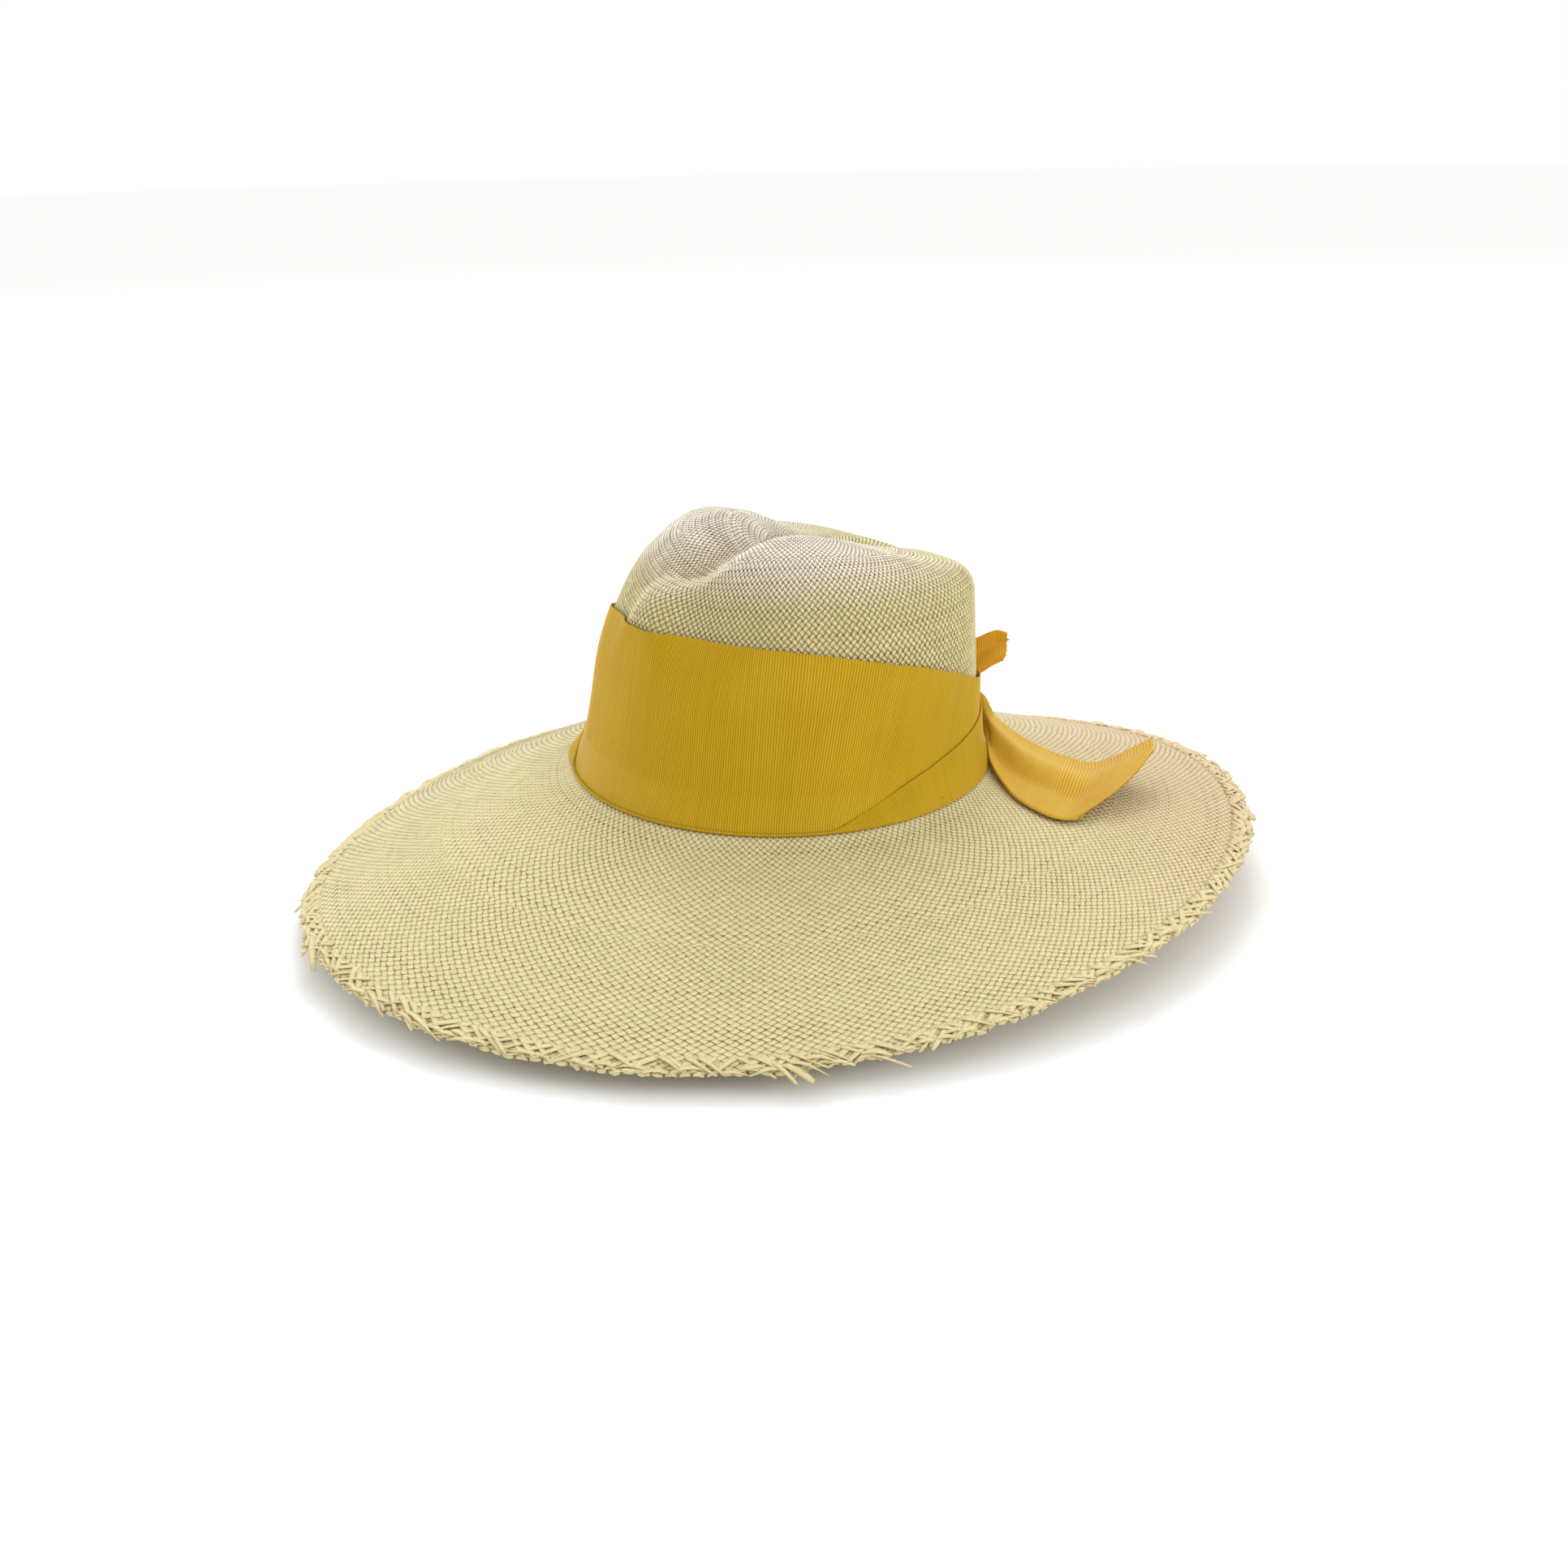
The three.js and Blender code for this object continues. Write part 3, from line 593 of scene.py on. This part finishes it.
def wovenShell(name, surface, zones, material, depth, frayed=False):
    random = np.random.default_rng(weaving["seed"])
    bm = bmesh.new()
    layer = bm.loops.layers.uv.new("weave")
    browningLayer = bm.verts.layers.float.new("rimBrowning")
    halfRow = 0
    last = None
    for start, end, strands, rowHeight in zones:
        rows = evenRows(surface, start, end, rowHeight)
        begin = halfRow
        if last:
            rows = rows[1:]
            begin = halfRow + 1
        angles = np.linspace(0, math.tau, 2 * strands + 1)
        points = reliefGrid(surface(angles[:, None], rows[None, :]), begin, depth)
        points[-1] = points[0]
        if frayed and end == 1:
            points = fraySheet(points, rows, random)
        grid = addGrid(bm, points, "weave", (0, begin / 2), (strands, (len(rows) - 1) / 2))
        if frayed:
            for (i, j), v in grid.items():
                v[browningLayer] = float(easeStep(rows[j], fray["browningFrom"], 1))
        seam = [grid[i, j] for i in (0, 2 * strands) for j in range(len(rows))]
        bmesh.ops.remove_doubles(bm, verts=seam, dist=1e-6)
        ring = {k: v for k, v in grid.items() if k[1] == 0 and v.is_valid}
        if last:
            bridgeRings(bm, last, ring, layer, strands, halfRow)
        halfRow = begin + len(rows) - 1
        last = {k: v for k, v in grid.items() if k[1] == len(rows) - 1 and v.is_valid}
    piece = finishPiece(bm, name, material, wall=hat["thickness"], upwards=True, merge=0.3)
    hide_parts("straw_body")
    return piece


def crownSurface(angle, liftDegrees):
    return crownPoint(angle, np.radians(liftDegrees))


# From the collar under the ribbon, down over the break and out to the rim
def brimSurface(angle, share):
    angle, share = np.broadcast_arrays(angle, share)
    collar = np.clip(-share / weaving["collar"], 0, 1)
    base = math.degrees(math.atan2(-crown["heart"], 100))
    lift = np.radians(base + (weaving["collarLift"] - base) * collar)
    return np.where((share < 0)[..., None], crownPoint(angle, lift), brimPoint(angle, np.maximum(share, 0)))


# One flat straw along the brim: start and heading at the rim, then arched, rolled and drooped
def strawStrip(angle, start, length, lean, width, lift, droop, roll):
    t = np.linspace(0, 1, 5)
    radius = (hat["halfWidth"] + hat["halfLength"]) / 2 + brim["width"]
    share = 1 + (start + t * length * math.cos(lean)) / brim["width"]
    turn = angle + t * length * math.sin(lean) / radius
    middle = brimPoint(turn, share)
    middle[:, 2] += lift * np.sin(math.pi * np.clip(t * 1.1, 0, 1)) + 0.25 - droop * t**3
    along = unit(np.gradient(middle, axis=0))
    across = unit(np.cross(along, np.array([0, 0, 1.0])))
    up = np.cross(across, along)
    tilt = roll * t[:, None]
    across = across * np.cos(tilt) + up * np.sin(tilt)
    half = width / 2 * (1 - 0.45 * t[:, None] ** 4)
    return np.stack([middle - across * half, middle + across * half], 1)


def makeFray():
    random = np.random.default_rng(fray["seed"])
    bm = bmesh.new()
    number = 0

    def addStrip(strip):
        addGrid(bm, strip, "strand", (number + 0.5, 0), (0, 1))
        return number + 1

    for side in (-1, 1):
        for k in range(fray["ends"]):
            shown, far, wide, leaned, curl, rolled = random.random(6)
            angle = (k + random.uniform(-0.3, 0.3)) / fray["ends"] * math.tau
            if shown > fray["endShown"]:
                continue
            low, high = fray["longReach"] if wide < fray["longShare"] else fray["endReach"]
            lean = math.radians(fray["endLean"][0] + leaned * (fray["endLean"][1] - fray["endLean"][0]))
            reach = fray["endStart"] + low + far * (high - low)
            width = fray["endWidth"][0] + wide * (fray["endWidth"][1] - fray["endWidth"][0])
            strip = strawStrip(angle, -fray["endStart"], reach / math.cos(lean), side * lean, width,
                               0.3 + 0.5 * leaned, 1.6 * (curl - 0.45), 0.9 * (rolled - 0.5))
            number = addStrip(strip)
    for k in range(fray["folded"]):
        far, wide, leaned, inside, side, rolled = random.random(6)
        angle = (k + random.uniform(-0.4, 0.4)) / fray["folded"] * math.tau
        lean = math.radians(74 + 14 * leaned) * (1 if side > 0.4 else -1)
        length = fray["foldedLength"][0] + far * (fray["foldedLength"][1] - fray["foldedLength"][0])
        width = fray["foldedWidth"][0] + wide * (fray["foldedWidth"][1] - fray["foldedWidth"][0])
        strip = strawStrip(angle, -3.2 * inside - length * math.cos(lean) / 2, length, lean, width,
                           0.7 + 0.8 * far, 0.3, 0.6 * (rolled - 0.5))
        number = addStrip(strip)
    for at, reach, width, lean in zip(tufts["at"], tufts["reach"], tufts["width"], tufts["lean"]):
        for copy in range(2 if width > 2 else 1):
            bend, curl, rolled = random.random(3)
            heading = math.radians(lean + 14 * copy)
            strip = strawStrip(math.radians(at + 0.5 * copy), -4, (4 + reach) / math.cos(heading), heading, width,
                               0.8 + copy * 0.6, 1.5 * (curl - 0.3), 1.6 * (rolled - 0.5))
            number = addStrip(strip)
    piece = finishPiece(bm, "strawFray", strawEnds, wall=fray["wall"], merge=0.0005)
    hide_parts("straw_body")
    return piece


wovenShell("strawCrown", crownSurface, weaving["crownZones"], strawSide, weaving["crownRelief"])
wovenShell("strawBrim", brimSurface, weaving["brimZones"], strawFlat, weaving["brimRelief"], frayed=True)
makeFray()
print("straw woven")

# Ribbon round the crown, 83 mm wide, its lower part folded up on its outside towards the knot
ribbonEdges = {
    "at": (-180, -150, -110, -80, -60, -40, -24, 0, 50, 65, 75, 90, 108, 131, 155, 180),
    "top": (38, 42, 51, 60, 67, 75, 79, 82.5, 82.5, 80.5, 77.5, 71.5, 61.5, 47.3, 40.5, 38),
    "turnUp": (31, 30, 28, 23, 16, 8, 1.4, 1.4, 1.4, 1.4, 7.5, 17, 23.7, 27.6, 30, 31),
    "flare": (0, 0, 0.5, 1, 2, 2.5, 0, 0, 0, 0, 0, 0, 0, 0, 0, 0),
}
band = {
    "cloth": 0.55,
    "lowerFold": 0.9,
    "standsProud": 1.2,
    "inside": 0.65,
    "outside": 1.2,
    "turnUpInside": 1.5,
    "turnUpOutside": 2.35,
    "ribRelief": 0.07,
    "scallop": 0.12,
    "width": 83.0,
}


def ribbonEdge(angle, column):
    return readTable(ribbonEdges, "at", column, (np.degrees(angle) + 180) % 360 - 180)


def overWall(angle, height, distance):
    proud = band["standsProud"] * (height / ribbonEdge(angle, "top")) ** 2
    return wallPoint(angle, height) + outward(angle) * (distance + proud)[..., None]


def bandLength():
    angles = np.linspace(0, math.tau, 721)
    points = wallPoint(angles, np.zeros_like(angles) + 20)
    steps = np.linalg.norm(np.diff(points, axis=0), axis=1)
    return angles, np.concatenate([[0], np.cumsum(steps)])


def softened(values, reach):
    kernel = np.hanning(2 * reach + 1) / np.hanning(2 * reach + 1).sum()
    looped = np.concatenate([values[-reach - 1:-1], values, values[1:reach + 1]])
    return np.convolve(looped, kernel, "same")[reach:-reach]


def bandEdge(angle, name):
    if name == "fold":
        return np.zeros_like(angle) + band["lowerFold"]
    return ribbonEdge(angle, name)


# Rows of the band's closed section: from edge, to edge, share between them, extra height, distance from the
# wall, rib relief. Up the inside, down the outside, up the back of the turned-up part and down its face.
def bandRows():
    inside, outside = band["inside"], band["outside"]
    back, face = band["turnUpInside"], band["turnUpOutside"]
    relief = band["ribRelief"]
    rows = [("fold", "top", share, 0, inside, 0) for share in (0.0, 0.25, 0.6, 0.9)]
    rows += [("fold", "top", 1, -0.2, inside, 0), ("fold", "top", 1, 0, (inside + outside) / 2, 0)]
    rows += [("fold", "top", 1, -0.2, outside, relief / 2)]
    rows += [("turnUp", "top", share, 0, outside, relief) for share in np.linspace(0.97, 0.0, 16)]
    rows += [("fold", "turnUp", share, 0, outside, relief) for share in (0.75, 0.4, 0.08)]
    rows += [("fold", "turnUp", share, 0, back, 0) for share in (0.08, 0.5, 0.92)]
    rows += [("fold", "turnUp", 1, -0.15, back, 0), ("fold", "turnUp", 1, 0, (back + face) / 2, 0)]
    rows += [("fold", "turnUp", 1, -0.2, face - 0.05, relief / 2)]
    rows += [("fold", "turnUp", share, 0, face, relief) for share in np.linspace(0.92, 0.05, 12)]
    rows += [("fold", "fold", 0, -0.55, face - 0.25, relief), ("fold", "fold", 0, -0.9, (inside + face) / 2, 0)]
    rows += [("fold", "fold", 0, -0.6, inside + 0.2, 0)]
    return rows + rows[:1]


def makeBand():
    angles, lengths = bandLength()
    ribs = round(lengths[-1] / grosgrain["ribPitch"])
    angle = np.interp(np.linspace(0, lengths[-1], 2 * ribs + 1), lengths, angles)
    perAngle = lengths[-1] / math.tau
    rib = np.where(np.arange(2 * ribs + 1) % 2, 1.0, -1.0)
    slopes = {name: softened(np.gradient(bandEdge(angle, name), angle) / perAngle, 40) for name in ("top", "turnUp")}
    columns = []
    for low, high, share, extra, distance, relief in bandRows():
        slope = slopes["turnUp" if high == "turnUp" and distance > band["outside"] else "top"]
        if high == "fold":
            slope = slope * 0
        at = angle
        for _ in range(5):
            height = bandEdge(at, low) + (bandEdge(at, high) - bandEdge(at, low)) * share + extra
            at = angle - slope * height / perAngle
        if share == 1 and extra == 0:
            height = height + rib * band["scallop"]
        open1 = np.clip(1 - height / np.maximum(ribbonEdge(at, "turnUp"), 3), 0, 1)
        proud = ribbonEdge(at, "flare") * open1 * (distance > band["outside"])
        columns.append(overWall(at, height, distance + rib * relief + proud))
    points = np.stack(columns, 1)
    points[-1] = points[0]
    bm = bmesh.new()
    over = np.linalg.norm(np.diff(points, axis=1), axis=2).mean(0).sum()
    addGrid(bm, points, "ribs", (0, 0), (ribs, over))
    piece = finishPiece(bm, "ribbonBand", silkRibbon, merge=0.01)
    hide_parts("ribbon_band")
    return piece


makeBand()

# Free ends of the ribbon: lower and upper edge at each station from the knot outwards, in mm
longTail = {
    "low": ((8, 108, 7), (21, 106, 6.5), (35, 102, 5), (51, 91.5, 4.5), (70.5, 74.5, 4), (86, 66.5, 0.5),
            (103, 60.5, -2.2), (120, 60.5, -3.6), (128, 64, -4), (132, 71, -4.2)),
    "high": ((8, 105, 22), (21, 102.5, 22), (32, 103.5, 21), (38, 107, 15), (41, 109, 9.5), (52, 109.5, 6),
             (66, 111.5, 2.5), (82, 118, -0.5), (96, 128, -1), (109, 151, 11)),
    "fold": (0, 0, 0, 1, 3.5, 5, 5.5, 5, 3.5, 0.5),
    "ahead": (0, 0, 0, 0, 0, 0, 0, 0, 6, 14),
}
shortTail = {
    "low": ((8, 103.9, 25), (21, 101.8, 26), (28, 106, 29), (33, 111, 34.5), (37, 115, 38)),
    "high": ((8, 102.6, 42), (20, 101, 44), (26, 105, 49), (33, 111, 54), (37, 116, 53)),
    "fold": (0, 0, -1.5, -2.5, -2),
    "ahead": (0, 0, 0, 0, 1),
}
foldShape = {"share": (0, 0.27, 0.58, 0.8, 1), "rise": (0, -0.5, 1, 0.35, 0)}
# The ribbon is wider than the tail shows, so what is left of its width is folded under along the lower edge
tailMesh = {"across": 32, "under": 30, "layerGap": 1.5, "overBrim": 0.7, "frayedEnd": 0.35, "seed": 3}


# A smooth run through stations
def throughStations(values, at):
    values = np.asarray(values, float)
    k = np.clip(np.floor(at).astype(int), 0, len(values) - 2)
    t = (at - k).reshape((-1,) + (1,) * (values.ndim - 1))
    before = values[np.maximum(k - 1, 0)]
    after = values[np.minimum(k + 2, len(values) - 1)]
    p, q = values[k], values[k + 1]
    m, n = (q - before) / 2, (after - p) / 2
    return (2 * t**3 - 3 * t**2 + 1) * p + (t**3 - 2 * t**2 + t) * m + (3 * t**2 - 2 * t**3) * q + (t**3 - t**2) * n


# Height of the brim's upper face under each point
def brimHeight(points):
    angle = np.arctan2(points[..., 0] / hat["halfWidth"], -points[..., 1] / hat["halfLength"])
    share = np.full(angle.shape, 0.2)
    for _ in range(10):
        off = points - brimPoint(angle, share)
        out = outward(angle)
        sideways = off[..., 1] * out[..., 0] - off[..., 0] * out[..., 1]
        angle = angle + sideways / (hat["halfLength"] + share * brim["width"])
        share = np.clip(share + (off * out).sum(-1) / brim["width"], 0, 1)
    return brimPoint(angle, share)[..., 2]


# Cloth that would sink into the brim lies on it instead
def settle(points, clearance):
    lift = brimHeight(points) + clearance - points[..., 2]
    points[..., 2] += (lift + np.sqrt(lift * lift + 0.6)) / 2
    return points


def makeTail(name, node, stations, width, foldedUnder=False):
    at = np.linspace(0, len(stations["low"]) - 1, 400)
    low, high = throughStations(stations["low"], at), throughStations(stations["high"], at)
    lengths = np.concatenate([[0], np.cumsum(np.linalg.norm(np.diff((low + high) / 2, axis=0), axis=1))])
    ribs = round(lengths[-1] / grosgrain["ribPitch"])
    at = np.interp(np.linspace(0, lengths[-1], 2 * ribs + 1), lengths, at)
    low, high = throughStations(stations["low"], at), throughStations(stations["high"], at)
    fold, ahead = throughStations(stations["fold"], at), throughStations(stations["ahead"], at)
    along = unit(np.gradient(low + high, axis=0))
    rise = unit(np.cross(along, high - low))
    shown = np.linalg.norm(high - low, axis=1)
    over = np.linspace(1, 0, tailMesh["across"] + 1)

    def layer(share):
        shape = readTable(foldShape, "share", "rise", share)
        bow = 4 * share * (1 - share)
        points = low[:, None] + (high - low)[:, None] * share[..., None]
        points = points + rise[:, None] * (fold[:, None] * shape)[..., None]
        return points + along[:, None] * (ahead[:, None] * bow)[..., None]

    upper = layer(np.broadcast_to(over, (len(at), len(over))))
    points = upper
    # the rest of the ribbon's width turns under the lower edge and back beneath, twice over near the knot
    if foldedUnder:
        reach = np.clip((width - shown) / shown, 0.04, 1.85)
        path = np.linspace(0.01, 1, tailMesh["under"])[None, :] * reach[:, None]
        second = easeStep(path, 0.9, 1.0)
        layers = 1 + easeStep(reach, 0.9, 1.0)
        under = layer(np.where(path < 0.95, path, 1.9 - path))
        under = under - rise[:, None] * (tailMesh["layerGap"] * (1 + second))[..., None]
        below = tailMesh["layerGap"] * (layers[:, None] - 1 - second)
        under = settle(under, tailMesh["overBrim"] + below)
        upper = settle(upper, tailMesh["overBrim"] + tailMesh["layerGap"] * layers[:, None])
        sideways = unit(low - high)
        bend = (upper[:, -1] + under[:, 0]) / 2 + sideways * tailMesh["layerGap"] / 2
        points = np.concatenate([upper, bend[:, None], under], axis=1)
    rib = np.where(np.arange(2 * ribs + 1) % 2, 1.0, -1.0)
    points = points + gridNormals(points) * (rib * band["ribRelief"] * 0.5)[:, None, None]
    # the cut end is a little ragged
    random = np.random.default_rng(tailMesh["seed"])
    points[-1] += along[-1] * (random.normal(size=points.shape[1]) * tailMesh["frayedEnd"])[:, None]
    bm = bmesh.new()
    addGrid(bm, points, "ribs", (0, 0), (ribs, shown.mean()))
    piece = finishPiece(bm, name, softLitRibbon, wall=band["cloth"], upwards=True, merge=0.005)
    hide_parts(node)
    area = sum(face.area for face in piece.data.polygons) * 1e6
    print(f"{name}: {area:.0f} mm2 of cloth from a flat cut {width:.0f} by {lengths[-1]:.0f} mm")
    return piece


makeTail("ribbonTailLong", "ribbon_tail_long", longTail, band["width"], foldedUnder=True)
makeTail("ribbonTailShort", "ribbon_tail_short", shortTail, 18)

knot = {"halfWidth": 19, "bottom": 2.5, "top": 47, "clearance": 4.9, "bulge": 7, "waist": 0.22, "pleat": 0.5}


def makeKnot():
    across, up = 66, 40
    side = np.linspace(-1, 1, across + 1)[:, None]
    share = np.linspace(0, 1, up + 1)[None, :]
    height = knot["bottom"] + (knot["top"] - knot["bottom"]) * share + 0 * side
    drawnIn = 1 - knot["waist"] * np.sin(math.pi * share)
    angle = math.pi + side * drawnIn * knot["halfWidth"] / hat["halfLength"]
    swell = knot["bulge"] * (1 - side * side) * np.sin(math.pi * share)
    pleats = knot["pleat"] * np.cos(3 * math.pi * side) * np.sin(math.pi * share)
    points = overWall(angle, height, knot["clearance"] + swell + pleats)
    bm = bmesh.new()
    addGrid(bm, points, "ribs", (0, 0), (across / 2, knot["top"] - knot["bottom"]))
    piece = finishPiece(bm, "ribbonKnot", softLitRibbon, wall=band["cloth"], merge=0.005)
    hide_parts("ribbon_knot")
    return piece


makeKnot()

# Two stitches that tack the ribbon down
tacks = {"at": (3.1, 100.5), "height": (4.7, 4.0), "distance": 2.5, "length": 1.7, "thickness": 0.5}


def makeTacks():
    bm = bmesh.new()
    for at, height in zip(tacks["at"], tacks["height"]):
        angle = np.radians(np.array([at]))
        place = toFrame(overWall(angle, np.array([height]), np.array([tacks["distance"]])))[0]
        shape = Matrix.Translation(Vector(place)) @ Matrix.Rotation(angle[0], 4, "Z")
        size = (tacks["length"] / 2000, tacks["thickness"] / 2000, tacks["thickness"] / 2000, 1)
        bmesh.ops.create_icosphere(bm, subdivisions=2, radius=1, matrix=shape @ Matrix.Diagonal(size))
    piece = finishPiece(bm, "tackStitches", softLitRibbon, merge=0.001)
    return piece


makeTacks()
print("ribbon made")

# Studio: pale floor, soft lights, and the camera at the photo's angle
studio = {
    "floor": "#FCFCFB",
    "floorPatch": "#FAFAF9",
    "world": "#FFFFFF",
    "worldStrength": 1.0,
    "aim": (0, 0, 0.08),
    "lights": (
        ("backOverhead", (-1.1, 1.0, 1.9), 1.6, 20.0),
        ("leftSoftbox", (-2.0, -1.3, 0.7), 1.0, 13.0),
        ("rightSoftbox", (2.0, 0.9, 0.8), 1.0, 13.0),
    ),
}
camera = {
    "elevation": 19.954,
    "azimuth": 50.0,
    "roll": -1.2055,
    "distance": 0.9,
    "focal": 2217.06,
    "centre": (966.42, 926.78),
    "image": 1932,
    "sensor": 36,
}


def makeFloor():
    material, tree = newMaterial("matt paper floor")
    noise = addNode(tree, "TexNoise", {"Scale": 3.0}).outputs["Fac"]
    pale, patch = colour(studio["floor"]), colour(studio["floorPatch"])
    tone = addNode(tree, "Mix", {0: noise, 6: pale, 7: patch}, data_type="RGBA")
    shader = addNode(tree, "BsdfPrincipled", {"Base Color": tone, "Roughness": 0.9})
    addNode(tree, "OutputMaterial", {"Surface": shader})
    bm = bmesh.new()
    bmesh.ops.create_circle(bm, cap_ends=True, segments=96, radius=9)
    mesh = bpy.data.meshes.new("floor")
    bm.to_mesh(mesh)
    bm.free()
    mesh.materials.append(material)
    floor = bpy.data.objects.new("floor", mesh)
    bpy.context.collection.objects.link(floor)


def makeLights():
    world = bpy.data.worlds.new("studio")
    world.use_nodes = True
    background = world.node_tree.nodes["Background"]
    background.inputs["Color"].default_value = colour(studio["world"])
    background.inputs["Strength"].default_value = studio["worldStrength"]
    bpy.context.scene.world = world
    for name, place, size, power in studio["lights"]:
        light = bpy.data.lights.new(name, "AREA")
        light.shape = "DISK"
        light.size = size
        light.energy = power
        lamp = bpy.data.objects.new(name, light)
        lamp.location = place
        lamp.rotation_euler = (Vector(studio["aim"]) - Vector(place)).to_track_quat("-Z", "Y").to_euler()
        bpy.context.collection.objects.link(lamp)
    bpy.context.scene.view_settings.view_transform = "Standard"


def makeCamera():
    azimuth, elevation = math.radians(camera["azimuth"]), math.radians(camera["elevation"])
    level = math.cos(elevation)
    towards = Vector((math.sin(azimuth) * level, -math.cos(azimuth) * level, math.sin(elevation)))
    right = Vector((math.cos(azimuth), math.sin(azimuth), 0))
    up = towards.cross(right)
    roll = math.radians(camera["roll"])
    rolledRight = right * math.cos(roll) + up * math.sin(roll)
    rolledUp = up * math.cos(roll) - right * math.sin(roll)
    data = bpy.data.cameras.new("camera")
    data.sensor_width = camera["sensor"]
    data.lens = camera["focal"] / camera["image"] * camera["sensor"]
    data.shift_x = (camera["image"] / 2 - camera["centre"][0]) / camera["image"]
    data.shift_y = (camera["centre"][1] - camera["image"] / 2) / camera["image"]
    view = bpy.data.objects.new("camera", data)
    matrix = Matrix((rolledRight, rolledUp, towards)).transposed().to_4x4()
    matrix.translation = Vector(hat["place"]) / 1000 + towards * camera["distance"]
    view.matrix_world = matrix
    bpy.context.collection.objects.link(view)
    bpy.context.scene.camera = view


makeFloor()
makeLights()
makeCamera()
print("scene ready")
